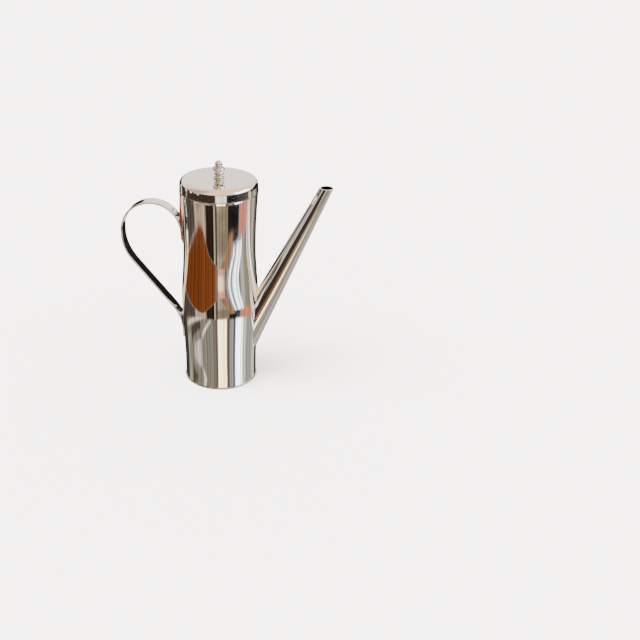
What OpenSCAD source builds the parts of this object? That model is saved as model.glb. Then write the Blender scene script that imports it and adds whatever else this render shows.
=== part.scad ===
// Cylindrical silver coffee pot: spun body, straight tapered spout, flat ribbon handle, lift-off lid.
// Millimetres. The pot stands on Z = 0 with its axis on Z, the spout towards +X, the handle towards -X.

/* [Body] */
// Height of the mouth above the table
mouth_z = 208; // [204:1:212]
// Outside radius of the wall just above the base
foot_r = 37.5; // [37:0.1:38]
// Outside radius of the belly, the widest place
belly_r = 39.5; // [39:0.1:40]
// Height of the belly
belly_z = 88; // [80:1:96]
// Outside radius of the waist under the flared mouth
waist_r = 36.5; // [36:0.1:37]
// Height of the waist
waist_z = 152; // [146:1:158]
// Outside radius of the flared mouth
mouth_r = 38.7; // [38.5:0.1:39]
// Thickness of the body wall
wall = 1; // [0.8:0.1:1.2]

/* [Base] */
// Radius of the base disc, a little proud of the wall
base_r = 38.3; // [38.1:0.1:39]
// Thickness of the base disc
base_t = 1.6; // [1.4:0.1:2]
// Radius of the shallow recess under the base disc
base_recess_r = 31; // [25:1:33]
// Depth of that recess
base_recess = 0.6; // [0.4:0.1:0.8]

/* [Mouth ring] */
// Inside radius of the ring that stiffens the mouth and guides the lid
mouth_ring_r = 36.8; // [36.6:0.1:36.9]

/* [Spout] */
// Distance from the pot's axis to the centre of the spout's mouth
spout_reach = 106; // [100:1:112]
// Height of the level cut at the spout's mouth
spout_z = 217; // [210:1:222]
// Slope of the spout's axis, in degrees above level
spout_slope = 65; // [64:0.5:66]
// Outside radius of the spout at its mouth
spout_tip_r = 6.2; // [5.8:0.1:6.6]
// Outside radius of the spout where its axis meets the body wall
spout_root_r = 13.4; // [12.5:0.1:14]
// Thickness of the spout's wall
spout_wall = 0.9; // [0.8:0.1:1]

/* [Strainer] */
// Radius of each hole pierced through the body wall behind the spout
strainer_hole_r = 2; // [1.5:0.1:2.2]
// Distance between neighbouring strainer holes
strainer_pitch = 7; // [6.5:0.5:8]

/* [Handle] */
// Width of the ribbon
ribbon_w = 14; // [12:1:16]
// Thickness of the ribbon
ribbon_t = 1.6; // [1.4:0.1:1.8]
// Height at which the ribbon's upper bend leaves the mounting plate
upper_bend_z = 163; // [161:1:165]
// Radius of the bend from the mounting plate to the crest of the loop
front_bend_r = 28.8; // [28:0.1:30]
// Radius of the bend from the crest to the back of the loop
back_bend_r = 31.4; // [30:0.1:32]
// Straight drop at the back of the loop
back_drop = 3; // [1:0.5:5]
// Radius of the bend from the back of the loop into the long slope
grip_bend_r = 46.7; // [44:0.1:48]
// Turn of that bend, in degrees
grip_turn = 38.9; // [38:0.1:40]
// Radius of the bend from the long slope down onto the body
lower_bend_r = 40; // [38:1:42]
// Height of the upper tail's rounded end
upper_tail_z = 152; // [150:1:154]
// Height of the lower tail's rounded end
lower_tail_z = 41; // [39:1:43]

/* [Mounting plate] */
// Thickness of the plate under the ribbon's tail
plate_t = 1.2; // [1:0.1:1.4]
// Thickness of the plate at its upper edge
plate_top_t = 0.5; // [0.4:0.1:0.8]
// Outside radius of the plate's rib, just above the ribbon's bend
rib_r = 39.7; // [39.2:0.1:40]
// Height of that place
rib_z = 176; // [175:1:180]
// Height at which the rib runs out under the mouth
rib_end_z = 200; // [196:1:202]
// Height of the plate's rounded lower end
plate_bottom_z = 149; // [147:1:150]
// Height of the plate's upper edge, under the lid
plate_top_z = 206; // [204:0.5:206.5]

/* [Lid] */
// Outside radius of the lid
lid_r = 38.9; // [38.8:0.1:39.2]
// Height of the lid
lid_h = 12; // [11.5:0.1:13]
// Radius of the lid's rounded shoulder
shoulder_r = 5.5; // [5:0.1:6]
// Thickness of the lid's metal
lid_wall = 1.2; // [1:0.1:1.3]
// Depth of the bezel below the mouth
bezel_depth = 9.5; // [8:0.5:11]
// Thickness of the bezel's metal
bezel_t = 0.8; // [0.7:0.1:1]
// Gap between the bezel and the mouth ring
bezel_gap = 0.3; // [0.3:0.05:0.4]

/* [Finial] */
// Height of the finial
finial_h = 18; // [17.5:0.1:19]
// Radius of the foot of the finial
finial_foot_r = 4.8; // [4.6:0.1:5]
// Radius of the large bead
bead_r = 6; // [5.8:0.1:6.2]
// Radius of the small ball on top
ball_r = 3.75; // [3.6:0.05:3.9]

/* [Fixings] */
// Radius of the threaded stud that holds the finial
stud_r = 1.5; // [1.4:0.1:1.6]
// Depth of the stud inside the finial
stud_depth = 6; // [5:0.5:7]
// Radius of the washer
washer_r = 4.5; // [4.2:0.1:5]
// Thickness of the washer
washer_t = 0.7; // [0.6:0.1:0.8]
// Distance across the corners of the hexagon nut
nut_corners = 6.4; // [6:0.1:6.8]
// Height of the nut
nut_h = 2.4; // [2.2:0.1:2.6]

/* [Hidden] */

$fn = 96;
silver = [0.86, 0.86, 0.84];
shade = [0.74, 0.74, 0.72];
far = 300;

// Stations of the body's profile
body_steps = 32;
step_z = (mouth_z - base_t) / body_steps;
straight_z = 12;

// Places on the lid
lid_top_z = mouth_z + lid_h;
lid_flat_r = lid_r - shoulder_r;
bezel_r = mouth_ring_r - bezel_gap;
flange_z = mouth_z + 0.6;
flange_t = 1;

// The spout's axis, measured from the centre of its mouth down towards the body
spout_run = (spout_reach - belly_r) / cos(spout_slope);
spout_taper = (spout_root_r - spout_tip_r) / spout_run;
spout_inner_end = spout_run + 40;
spout_over = 12;
spout_root_z = spout_z - spout_run * sin(spout_slope);

// Middle line of the ribbon: u is the distance from the pot's axis
upper_u = waist_r + plate_t + ribbon_t / 2 - 0.4;
crest_u = upper_u + front_bend_r;
crest_z = upper_bend_z + front_bend_r;
back_u = crest_u + back_bend_r;
back_z = crest_z - back_bend_r;
grip_u = back_u - grip_bend_r * (1 - cos(grip_turn));
grip_z = back_z - back_drop - grip_bend_r * sin(grip_turn);
lower_u = body_r(lower_tail_z + ribbon_w / 2) + ribbon_t / 2 - 0.3;
slope_run = (grip_u - lower_u - lower_bend_r * (1 - cos(grip_turn))) / sin(grip_turn);
lower_z = grip_z - slope_run * cos(grip_turn) - lower_bend_r * sin(grip_turn);

// Value between a and b on half a cosine wave
function ease(a, b, t) = a + (b - a) * (1 - cos(180 * t)) / 2;

// Outside radius of the body at height z: straight foot, belly, waist and flared mouth
function body_r(z) =
    z <= straight_z ? foot_r
    : z <= belly_z ? ease(foot_r, belly_r, (z - straight_z) / (belly_z - straight_z))
    : z <= waist_z ? ease(belly_r, waist_r, (z - belly_z) / (waist_z - belly_z))
    : waist_r + (mouth_r - waist_r) * (1 - cos(90 * (z - waist_z) / (mouth_z - waist_z)));

// Profile of the body, moved out by grow, from station i0 to station i1
function body_line(i0, i1, grow = 0) =
    [for (i = [i0:i1]) let (z = base_t + i * step_z) [body_r(z) + grow, z]];

function reversed(points) = [for (i = [len(points) - 1:-1:0]) points[i]];

// Points on an arc round [cx, cy] from angle a0 to angle a1
function arc(cx, cy, r, a0, a1, n) =
    [for (i = [0:n]) let (a = a0 + (a1 - a0) * i / n) [cx + r * cos(a), cy + r * sin(a)]];

// Points on an elliptical arc
function oval(cx, cy, rx, ry, a0, a1, n) =
    [for (i = [0:n]) let (a = a0 + (a1 - a0) * i / n) [cx + rx * cos(a), cy + ry * sin(a)]];

// One face of the ribbon, offset by side from its middle line, from the upper tail to the lower
function ribbon_face(side) = concat(
    [[upper_u - side, upper_tail_z]],
    arc(crest_u, upper_bend_z, front_bend_r + side, 180, 90, 18),
    arc(crest_u, back_z, back_bend_r + side, 90, 0, 18),
    arc(back_u - grip_bend_r, back_z - back_drop, grip_bend_r + side, 0, -grip_turn, 12),
    arc(lower_u + lower_bend_r, lower_z, lower_bend_r - side, 180 - grip_turn, 180, 10),
    [[lower_u + side, lower_tail_z]]);

// Solid inside the body's outer surface, between stations i0 and i1
module body_core(i0 = 0, i1 = body_steps, grow = 0) {
    line = body_line(i0, i1, grow);
    rotate_extrude()
        polygon(concat([[0, line[0][1]]], line, [[0, line[len(line) - 1][1]]]));
}

// Prism along -X with the outline of a tongue: straight sides and a round end at bottom_z
module tongue(width, bottom_z, top_z) {
    rotate([90, 0, -90])
        linear_extrude(height = far)
            union() {
                translate([0, bottom_z + width / 2]) circle(r = width / 2);
                translate([-width / 2, bottom_z + width / 2])
                    square([width, top_z - bottom_z - width / 2]);
            }
}

// Solid cone on the spout's axis, thinner than the outside by inset
module spout_cone(inset) {
    translate([spout_reach, 0, spout_z])
        rotate([0, 270 - spout_slope, 0])
            translate([0, 0, -spout_over])
                cylinder(h = spout_inner_end + spout_over,
                         r1 = spout_tip_r - spout_over * spout_taper - inset,
                         r2 = spout_tip_r + spout_inner_end * spout_taper - inset);
}

module body_shell() {
    color(silver)
        difference() {
            rotate_extrude()
                polygon(concat(body_line(0, body_steps), reversed(body_line(0, body_steps, -wall))));
            strainer_holes();
        }
}

// Rows of holes inside the oval that the spout's root covers
module strainer_holes() {
    oval_h = (spout_root_r - 5) / cos(spout_slope);
    oval_w = spout_root_r - 4;
    for (row = [-3:3], side = [-1:1]) {
        y = (side + (row % 2 == 0 ? 0 : 0.5)) * strainer_pitch;
        z = row * strainer_pitch * sin(60);
        if (pow(y / oval_w, 2) + pow(z / oval_h, 2) < 1)
            translate([belly_r - 8, y, spout_root_z + z])
                rotate([0, 90, 0])
                    cylinder(h = 12, r = strainer_hole_r, $fn = 24);
    }
}

module base_disc() {
    color(silver)
        difference() {
            cylinder(h = base_t, r = base_r);
            translate([0, 0, -1]) cylinder(h = 1 + base_recess, r = base_recess_r);
        }
}

module mouth_ring() {
    outer = body_line(body_steps - 1, body_steps, -wall);
    color(shade)
        rotate_extrude()
            polygon(concat(outer, [[mouth_ring_r, mouth_z], [mouth_ring_r, outer[0][1]]]));
}

module spout() {
    color(silver)
        difference() {
            spout_cone(0);
            spout_cone(spout_wall);
            body_core();
            translate([0, -far / 2, spout_z]) cube([far, far, far]);
        }
}

module handle_ribbon() {
    color(silver)
        difference() {
            mirror([1, 0, 0])
                rotate([90, 0, 0])
                    linear_extrude(height = ribbon_w, center = true)
                        polygon(concat(ribbon_face(ribbon_t / 2), reversed(ribbon_face(-ribbon_t / 2))));
            tail_corners(upper_tail_z, upper_u);
            tail_corners(lower_tail_z, lower_u);
            body_core(grow = plate_t, i0 = plate_first, i1 = body_steps);
            body_core();
        }
}

// What is cut away to round the end of a tail at height z and distance u from the axis
module tail_corners(z, u) {
    difference() {
        translate([-u - 3, -ribbon_w / 2 - 1, z - 1]) cube([6, ribbon_w + 2, ribbon_w / 2 + 1]);
        tongue(ribbon_w, z, z + ribbon_w);
    }
}

// Stations of the body's profile at the mounting plate's lower end and at the ends of its rib
plate_first = floor((plate_bottom_z - base_t) / step_z);
rib_first = ceil((upper_bend_z + 3 - base_t) / step_z);
rib_last = round((rib_end_z - base_t) / step_z);

module handle_mounting_plate() {
    color(silver)
        intersection() {
            union() {
                plate_sheet();
                difference() {
                    plate_rib();
                    bend_clearance();
                }
            }
            tongue(ribbon_w, plate_bottom_z, plate_top_z);
        }
}

// Sheet that follows the body, thinner above the rib
module plate_sheet() {
    rotate_extrude()
        polygon(concat(body_line(plate_first, rib_last - 1, plate_t),
                       body_line(rib_last, body_steps, plate_top_t),
                       reversed(body_line(plate_first, body_steps))));
}

// Drum inside the ribbon's upper bend, up to the ribbon's face that looks at the body
module bend_clearance() {
    translate([-crest_u, 0, upper_bend_z])
        rotate([90, 0, 0])
            cylinder(h = ribbon_w + 2, r = front_bend_r + ribbon_t / 2, center = true);
}

// Rib that fills the waist above the ribbon's bend, so that the plate's face runs straight to the mouth
module plate_rib() {
    inner = body_line(rib_first, rib_last, plate_top_t / 2);
    rotate_extrude()
        polygon(concat(inner, [inner[len(inner) - 1] + [plate_top_t / 2, 0], [rib_r, rib_z], [rib_r, inner[0][1]]]));
}

module lid_cap() {
    inner_r = lid_r - lid_wall;
    color(silver)
        difference() {
            rotate_extrude()
                polygon(concat(
                    [[inner_r, mouth_z], [lid_r, mouth_z]],
                    arc(lid_flat_r, lid_top_z - shoulder_r, shoulder_r, 0, 90, 12),
                    [[0, lid_top_z], [0, lid_top_z - lid_wall]],
                    arc(lid_flat_r, lid_top_z - shoulder_r, shoulder_r - lid_wall, 90, 0, 12)));
            translate([0, 0, lid_top_z - 5]) cylinder(h = 10, r = stud_r);
        }
}

module lid_bezel() {
    color(shade)
        rotate_extrude()
            polygon([[bezel_r - bezel_t, mouth_z - bezel_depth], [bezel_r, mouth_z - bezel_depth],
                     [bezel_r, flange_z], [lid_r - lid_wall, flange_z],
                     [lid_r - lid_wall, flange_z + flange_t], [bezel_r - bezel_t, flange_z + flange_t]]);
}

// Outline of the finial above its foot: waisted neck, large bead and small ball
function finial_line() = let (
        collar_z = 5.6,
        bead_h = 3.5,
        bead_z = collar_z + bead_h + 0.3,
        ball_z = finial_h - ball_r)
    concat(
        [[finial_foot_r, 0], [finial_foot_r, 0.9]],
        arc(finial_foot_r + 0.6, 0.9 + (collar_z - 1.8) / 2, (collar_z - 1.8) / 2, -90, -270, 10),
        [[finial_foot_r - 0.5, collar_z - 0.9], [finial_foot_r - 0.5, collar_z]],
        oval(0, bead_z, bead_r, bead_h, -42, 52, 14),
        arc(0, ball_z, ball_r, -48, 90, 14));

module finial() {
    color(silver)
        translate([0, 0, lid_top_z])
            difference() {
                rotate_extrude() polygon(concat([[0, 0]], finial_line()));
                translate([0, 0, -1]) cylinder(h = stud_depth + 1, r = stud_r);
            }
}

module finial_stud() {
    stud_bottom = lid_top_z - lid_wall - washer_t - nut_h - 1.2;
    color(shade)
        translate([0, 0, stud_bottom])
            cylinder(h = lid_top_z + stud_depth - stud_bottom, r = stud_r);
}

module finial_washer() {
    color(shade)
        translate([0, 0, lid_top_z - lid_wall - washer_t])
            difference() {
                cylinder(h = washer_t, r = washer_r);
                translate([0, 0, -1]) cylinder(h = washer_t + 2, r = stud_r);
            }
}

module finial_nut() {
    color(shade)
        translate([0, 0, lid_top_z - lid_wall - washer_t - nut_h])
            difference() {
                cylinder(h = nut_h, r = nut_corners / 2, $fn = 6);
                translate([0, 0, -1]) cylinder(h = nut_h + 2, r = stud_r);
            }
}

body_shell();
base_disc();
mouth_ring();
spout();
handle_ribbon();
handle_mounting_plate();
lid_cap();
lid_bezel();
finial();
finial_stud();
finial_washer();
finial_nut();
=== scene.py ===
# %% [markdown]
# # A silver coffee pot with a lift-off lid
# This notebook dresses a small metal object for a studio picture: a tall spun pot, a straight
# spout, a ribbon handle and a lid with a turned finial. The construction already exists as a
# fixed frame, one solid for each piece. Here every piece that shows is modelled again with
# smooth curves and softened edges, laid exactly where its solid is, and given a worn silver
# finish. The frame comes first, because every size below is taken from it or checked against it.

# %% Load the frame
import math
from collections import namedtuple

import bmesh
import bpy
from mathutils import Euler, Matrix, Vector
from mathutils.bvhtree import BVHTree


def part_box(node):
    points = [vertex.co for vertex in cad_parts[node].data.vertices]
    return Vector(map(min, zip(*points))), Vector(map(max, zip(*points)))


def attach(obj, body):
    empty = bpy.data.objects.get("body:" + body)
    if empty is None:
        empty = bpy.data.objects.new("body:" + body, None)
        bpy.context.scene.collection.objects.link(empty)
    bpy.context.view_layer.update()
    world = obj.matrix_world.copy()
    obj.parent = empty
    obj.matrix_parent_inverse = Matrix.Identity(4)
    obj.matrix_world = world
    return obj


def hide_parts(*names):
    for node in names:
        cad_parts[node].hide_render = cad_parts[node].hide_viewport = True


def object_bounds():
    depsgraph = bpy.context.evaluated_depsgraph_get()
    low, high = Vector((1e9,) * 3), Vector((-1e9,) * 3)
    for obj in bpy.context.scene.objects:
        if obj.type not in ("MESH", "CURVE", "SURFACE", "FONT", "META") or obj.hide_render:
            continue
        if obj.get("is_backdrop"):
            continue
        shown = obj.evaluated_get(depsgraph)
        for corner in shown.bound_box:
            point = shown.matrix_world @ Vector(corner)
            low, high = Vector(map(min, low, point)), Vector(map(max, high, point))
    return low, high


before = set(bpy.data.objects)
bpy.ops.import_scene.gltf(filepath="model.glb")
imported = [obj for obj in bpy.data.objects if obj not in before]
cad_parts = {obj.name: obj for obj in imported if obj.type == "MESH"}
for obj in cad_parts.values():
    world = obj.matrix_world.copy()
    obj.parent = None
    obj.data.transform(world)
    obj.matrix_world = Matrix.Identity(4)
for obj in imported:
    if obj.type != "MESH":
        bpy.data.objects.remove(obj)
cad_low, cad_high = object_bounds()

MM = 0.001
TURN = 2 * math.pi


def low(node, axis="z"):
    """Lowest place of a node of the frame along an axis, in millimetres."""
    return getattr(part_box(node)[0], axis) / MM


def high(node, axis="z"):
    """Highest place of a node of the frame along an axis, in millimetres."""
    return getattr(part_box(node)[1], axis) / MM


# %% [markdown]
# ## The camera
# A tall pot on a table is usually seen from a little above, so that the lid shows its flat top
# and the rim stays a clear ellipse. A long lens from about a metre keeps the upright sides
# nearly parallel. The camera stands to the right of the pot's own front, so the spout comes a
# little towards us and the handle goes a little away.

# %% Camera
LENS, FILM_WIDTH = 50.625, 36  # both in millimetres
CAMERA_PLACE = Vector((146.7, -832.1, 514.3)) * MM
CAMERA_YAW, CAMERA_DIP, CAMERA_ROLL = 2.856, 28.0, 2.66

camera_data = bpy.data.cameras.new("camera")
camera_data.lens = LENS
camera_data.sensor_width = FILM_WIDTH
camera = bpy.data.objects.new("camera", camera_data)
bpy.context.scene.collection.objects.link(camera)
bpy.context.scene.camera = camera

yaw = Euler((0, 0, math.radians(CAMERA_YAW))).to_matrix()
dip = Euler((math.radians(90 - CAMERA_DIP), 0, 0)).to_matrix()
roll = Euler((0, 0, math.radians(CAMERA_ROLL))).to_matrix()
camera.matrix_world = (yaw @ dip @ roll).to_4x4()
camera.location = CAMERA_PLACE
print("camera", [round(x, 3) for x in camera.location])

# %% [markdown]
# ## Arithmetic on sockets
# A finish is a formula: where is the surface worn, how rough is it there, how does the tone
# drift. Written as nodes, one formula takes a dozen boxes and wires. Wrapping a socket in a small
# class lets Python's own signs add those boxes, so the formula can be read in one line. Colours
# go through Mix nodes instead, because a Math node would turn them grey.


# %% Socket arithmetic
class Wire:
    """An output socket that takes part in arithmetic. Each sign adds one Math node."""

    def __init__(self, tree, socket):
        self.tree = tree
        self.socket = socket

    def node(self, kind, settings=None, sockets=None, out=0):
        """Any other node: its settings are set first, then values or wires go to its sockets."""
        made = self.tree.nodes.new(kind)
        for name, value in (settings or {}).items():
            setattr(made, name, value)
        for name, value in (sockets or {}).items():
            if isinstance(value, Wire):
                self.tree.links.new(value.socket, made.inputs[name])
            else:
                made.inputs[name].default_value = value
        return Wire(self.tree, made.outputs[out]) if made.outputs else None

    def math(self, operation, first, second=0.0):
        return self.node("ShaderNodeMath", {"operation": operation}, {0: first, 1: second})

    def __add__(self, other):
        return self.math("ADD", self, other)

    def __sub__(self, other):
        return self.math("SUBTRACT", self, other)

    def __rsub__(self, other):
        return self.math("SUBTRACT", other, self)

    def __mul__(self, other):
        return self.math("MULTIPLY", self, other)

    def __pow__(self, other):
        return self.math("POWER", self, other)

    def __abs__(self):
        return self.math("ABSOLUTE", self)

    __radd__ = __add__
    __rmul__ = __mul__


def first_wire(tree, output):
    """Empties a node tree and starts it from one output of a Texture Coordinate node."""
    tree.nodes.clear()
    return Wire(tree, tree.nodes.new("ShaderNodeTexCoord").outputs[output])


def split(spot):
    """The three coordinates of a place or a direction, as numbers."""
    made = spot.node("ShaderNodeSeparateXYZ", None, {0: spot}).socket.node
    return [Wire(spot.tree, number) for number in made.outputs]


def fade(value, start, end):
    """0 where value is below start, 1 where it is above end, and smooth between."""
    sockets = {"Value": value, "From Min": start, "From Max": end, "To Min": 0.0, "To Max": 1.0}
    return value.node("ShaderNodeMapRange", {"interpolation_type": "SMOOTHSTEP"}, sockets)


COLOUR_A, COLOUR_B, COLOUR_OUT = 6, 7, 2  # a Mix node keeps other sockets for other kinds of data


def blend(mask, first, second):
    """The first colour where mask is 0, and the second where it is 1."""
    first, second = (c if isinstance(c, Wire) else (*c, 1.0) for c in (first, second))
    sockets = {"Factor": mask, COLOUR_A: first, COLOUR_B: second}
    return mask.node("ShaderNodeMix", {"data_type": "RGBA"}, sockets, COLOUR_OUT)


print("socket arithmetic ready")

# %% [markdown]
# ## The light tent
# Polished silver has no colour of its own: it shows the room. A photographer therefore builds a
# room for it, a soft tent with cards of chosen tones standing in it. Modelled cards would have to
# stand very close to the pot, so they are drawn on the world instead, each as a patch of
# directions: an azimuth and a width, and a lowest and a highest elevation, all in degrees. An
# upright wall seen by a camera that looks down on it shows what lies below the horizon, so that
# is where most cards are. The waisted body turns its mirror up and down by a few degrees, and so
# draws the straight edges of the cards as curves. Where a card's edge is itself aslant, by a lean
# or a tilt, the body shows a tongue or a wedge.

# %% World by direction
world = bpy.data.worlds.new("light_tent")
world.use_nodes = True
bpy.context.scene.world = world

across, along, up = split(first_wire(world.node_tree, "Generated"))
DEGREES = 180 / math.pi
azimuth = across.math("ARCTAN2", along, across) * DEGREES
elevation = across.math("ARCSINE", up) * DEGREES

# a card's shade, the azimuth of its middle, its width, its lowest and highest elevation, how soft
# its sides and its ends are, and the slopes of its sides (lean) and of its ends (tilt)
Card = namedtuple(
    "Card", "shade side width bottom top soft ends lean tilt", defaults=(4.0, 0.6, 0.0, 0.0)
)
DOWN = -90  # a card that starts straight down has no lower end


def card_mask(card):
    """1 on a card and 0 beside it."""
    settings, sockets = {"operation": "WRAP"}, {0: azimuth - card.side, 1: 180.0, 2: -180.0}
    offset = azimuth.node("ShaderNodeMath", settings, sockets)
    height = elevation - offset * card.tilt if card.tilt else elevation
    if card.lean:
        offset = offset - (elevation - card.bottom) * card.lean
    half, edge, end = card.width / 2, card.soft / 2, card.ends / 2
    mask = 1 - fade(abs(offset), half - edge, half + edge)
    if card.bottom > DOWN:
        mask = mask * fade(height, card.bottom - end, card.bottom + end)
    return mask * (1 - fade(height, card.top - end, card.top + end))


print("azimuth and elevation ready")

# %% [markdown]
# ## The cards
# They are laid over each other in this order: the room above the horizon, the strips that only
# the upper third of the body turns down to, the table top of warm wood with the room past its far
# edge, the near ground, the pale panels behind the pot, and the dark posts that give the spout
# and the handle their dark edges. What no card covers shows a plain ground, wall or ceiling.

# %% Cards of the room and of the upper body
NEAR, TABLE_EDGE = -28.8, -16.6  # elevations: the near end of the table, and its far edge
PALE_WALL, ROSY_BEIGE = (1.6, 1.56, 1.34), (0.66, 0.46, 0.32)
ROOM = [
    Card(PALE_WALL, 90, 110, 11, 30, 30, 7),  # pale back wall, for the top of the lid
    Card((0.012, 0.014, 0.018), -42, 30, -30, 12, 5, 2),  # black screen
    Card((4.5, 5.2, 6.5), -2, 56, 14, 44, 10, 3),  # cool window
    Card((0.17, 0.165, 0.15), 5, 150, -4, 14, 10, 3),  # grey sill under it
    Card((0.015, 0.012, 0.01), 155, 34, -20, 8, 8, 6),  # dark corner
    Card((0.62, 0.60, 0.50), -160, 64, 14, 75, 30, 8),  # dimmer side of the room
]
UPPER_STRIPS = [
    Card((0.078, 0.063, 0.056), -190, 54, NEAR, -22.8, 6),  # grey mauve
    Card(ROSY_BEIGE, -142, 38, NEAR, -25, 3),  # rosy beige
    Card((0.028, 0.018, 0.010), -110.5, 25, NEAR, TABLE_EDGE, 3),  # brown black
    Card((0.60, 0.50, 0.36), -95.5, 4, NEAR, -21, 1.5),  # light line
    Card((0.05, 0.035, 0.03), -90, 4, NEAR, -21, 1.5),  # dark line
    Card((0.29, 0.22, 0.155), -77, 23, NEAR, -19.5),  # mauve beige
    Card((0.24, 0.20, 0.13), -59, 14, NEAR, -19.5),  # olive beige
    Card((0.46, 0.39, 0.28), -72, 32, -24.3, -19.9, 4, 1.5),
    Card((0.011, 0.011, 0.014), -36, 34, NEAR, -25.2, 6, 1.5),  # black
    Card((0.22, 0.17, 0.14), -48, 24, -26, -19.5, 6, 1.5),  # brown grey
    Card((0.85, 0.30, 0.18), 6, 44, NEAR, -25.4, 5),  # salmon
    Card((0.60, 0.44, 0.36), 38, 22, NEAR, -22, 5),  # pale rose
]
print(len(ROOM), "cards for the room,", len(UPPER_STRIPS), "for the upper body")

# %% Cards of the table and of the room past it
WOOD_FALL, WOOD_RISE = -0.068, 0.15  # tilts: going round, the wood's near edge falls, then rises
WOOD_TOP = TABLE_EDGE + 2  # the room covers what the wood has over the table's edge
DARK_ROOM, LAMP = (0.05, 0.037, 0.03), (3.0, 2.8, 2.4)
TABLE = [
    Card((0.45, 0.33, 0.26), -177, 84, -24.9, WOOD_TOP, 4, 0.3, 0, WOOD_FALL),  # rim of the wood
    Card((0.30, 0.21, 0.15), -116, 52, -24.6, -8, 4, 0.4, 0, WOOD_RISE),
    Card((0.18, 0.048, 0.014), -177, 80, -24.6, WOOD_TOP, 4, 0.4, 0, WOOD_FALL),  # wood
    Card((0.21, 0.058, 0.018), -118, 46, -24.6, -8, 4, 0.5, 0, WOOD_RISE),
    Card(ROSY_BEIGE, -142, 38, NEAR, -26.85, 3, 0.5),  # rosy beige before it
    Card(DARK_ROOM, -160, 138, TABLE_EDGE, 6, 3, 0.5),  # dark room past the table
    Card(DARK_ROOM, -203, 58, -19, 6, 4, 0.5),
    Card((0.85, 0.80, 0.70), -146, 18, -3, 9, 6, 3),  # lit strip, for the spout
    Card((1.6, 1.56, 1.45), -75, 31, TABLE_EDGE, 6, 3, 2),  # bright doorway in it
    Card(LAMP, -166, 6, -12, 6, 2, 2),  # two far lamps
    Card(LAMP, -142, 4, -14, -6, 2, 2),
    Card((0.66, 0.63, 0.57), -7, 15, -25.6, TABLE_EDGE, 5, 0.5),  # grey beside the window
    Card((0.42, 0.20, 0.10), -42, 16, -27, -18, 4, 0.5, -4.1),  # brown wedge
    Card((0.42, 0.43, 0.45), -22, 36, -25.8, TABLE_EDGE, 4, 0.5, -2.6),  # window on the table
    Card((3.4, 3.6, 4.0), -33, 4, -25.2, TABLE_EDGE, 2, 0.5, -2.6),
    Card((3.2, 3.5, 4.0), -15, 18, -25.4, TABLE_EDGE, 3, 0.5, -2.4),
    Card((0.5, 0.52, 0.58), -13, 3, -25.6, TABLE_EDGE, 2, 0.5, -2.2),
    Card((0.34, 0.29, 0.20), 20, 34, -25.6, TABLE_EDGE, 8, 0.5),  # olive grey
    Card((0.60, 0.55, 0.50), 44, 14, -25.6, TABLE_EDGE, 6, 0.5),  # grey
    Card((1.15, 0.50, 0.40), -76, 18, -19.9, -18.2, 4, 0.3),  # rosy end of the cream cloth
    Card((2.0, 1.6, 0.9), -77, 17, -18.2, -17, 6, 0.3),
]
print(len(TABLE), "cards for the table and the room past it")


# %% Cards of the near ground, the panels and the posts
def near_card(shade, side, width, soft):
    """A card on the ground that the lower body shows, from straight down up to the table."""
    return Card(shade, side, width, DOWN, NEAR, soft)


NEAR_GROUND = [
    near_card((0.27, 0.245, 0.195), -160, 130, 8),  # olive grey
    Card((1.2, 1.1, 0.95), -126, 28, -31.5, -30.5, 6, 0.5, 0, 0.12),  # pale bars
    Card((0.9, 0.82, 0.70), -160, 30, DOWN, -33.0, 10, 0.5),
    Card((0.07, 0.07, 0.05), -165, 40, -31.8, -29.9, 10, 0.6, 0, 0.03),
    Card((0.5, 0.45, 0.37), -198, 16, -32.0, -31.2, 5, 0.5),
    Card((1.0, 0.85, 0.62), -170, 60, -29.6, NEAR, 12, 0.6, 0, 0.02),
    Card((0.06, 0.045, 0.03), -214, 14, DOWN, -28, 4, 1),
    near_card((0.20, 0.15, 0.13), -94, 12, 3),
    near_card((4.2, 3.5, 1.7), -75, 27, 3),  # cream cloth
    near_card((0.11, 0.08, 0.06), -57, 7, 2.5),
    near_card((0.42, 0.38, 0.38), -46, 14, 4),
    near_card((0.13, 0.13, 0.15), -36, 6, 2.5),
    near_card((4.5, 4.9, 5.6), -19, 26, 4),  # window on the near ground
    near_card((0.55, 0.58, 0.62), -12, 3, 2),
    Card((0.42, 0.35, 0.30), -50, 120, DOWN, -35.6, 20, 1.2),  # nearest, for the spout
    near_card((0.9, 0.85, 0.80), 0, 14, 4),
    near_card((0.44, 0.43, 0.38), 22, 30, 6),
    near_card((1.0, 0.92, 0.85), 48, 18, 6),
]
BACK = [
    Card((2.2, 2.1, 1.9), 103, 26, DOWN, -12, 4, 2),  # pale panels behind the pot
    Card((0.30, 0.26, 0.22), 100, 5, DOWN, -12, 2, 2),
    Card((1.4, 1.3, 1.15), 143, 7, -23.6, 9, 2, 0.8),
    Card((1.0, 0.9, 0.78), 173, 7, TABLE_EDGE, 9, 3, 2),
]
POSTS = [
    Card((0.02, 0.015, 0.01), 128, 20, DOWN, 12, 8, 3),  # dark posts that edge both limbs
    Card((0.02, 0.016, 0.013), 76, 26, DOWN, 6, 8, 3),
    Card((0.012, 0.011, 0.01), 50, 29, -8, 15, 2, 3),  # and the handle
    Card(PALE_WALL, 78, 24, 3, 12, 3, 2),  # lit wall where the handle turns down
]
cards = ROOM + UPPER_STRIPS + TABLE + NEAR_GROUND + BACK + POSTS
print(len(cards), "cards in the tent")

# %% The tent
GROUND, WALL, CEILING = (0.20, 0.18, 0.14), (0.05, 0.042, 0.034), (1.75, 1.15, 0.72)
WALL_STARTS, WALL_ENDS = (-18, -15), (10, 15)  # elevations between which one fades into the next
colour = blend(fade(elevation, *WALL_STARTS), GROUND, WALL)
colour = blend(fade(elevation, *WALL_ENDS), colour, CEILING)
for card in cards:
    colour = blend(card_mask(card), colour, card.shade)

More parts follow.
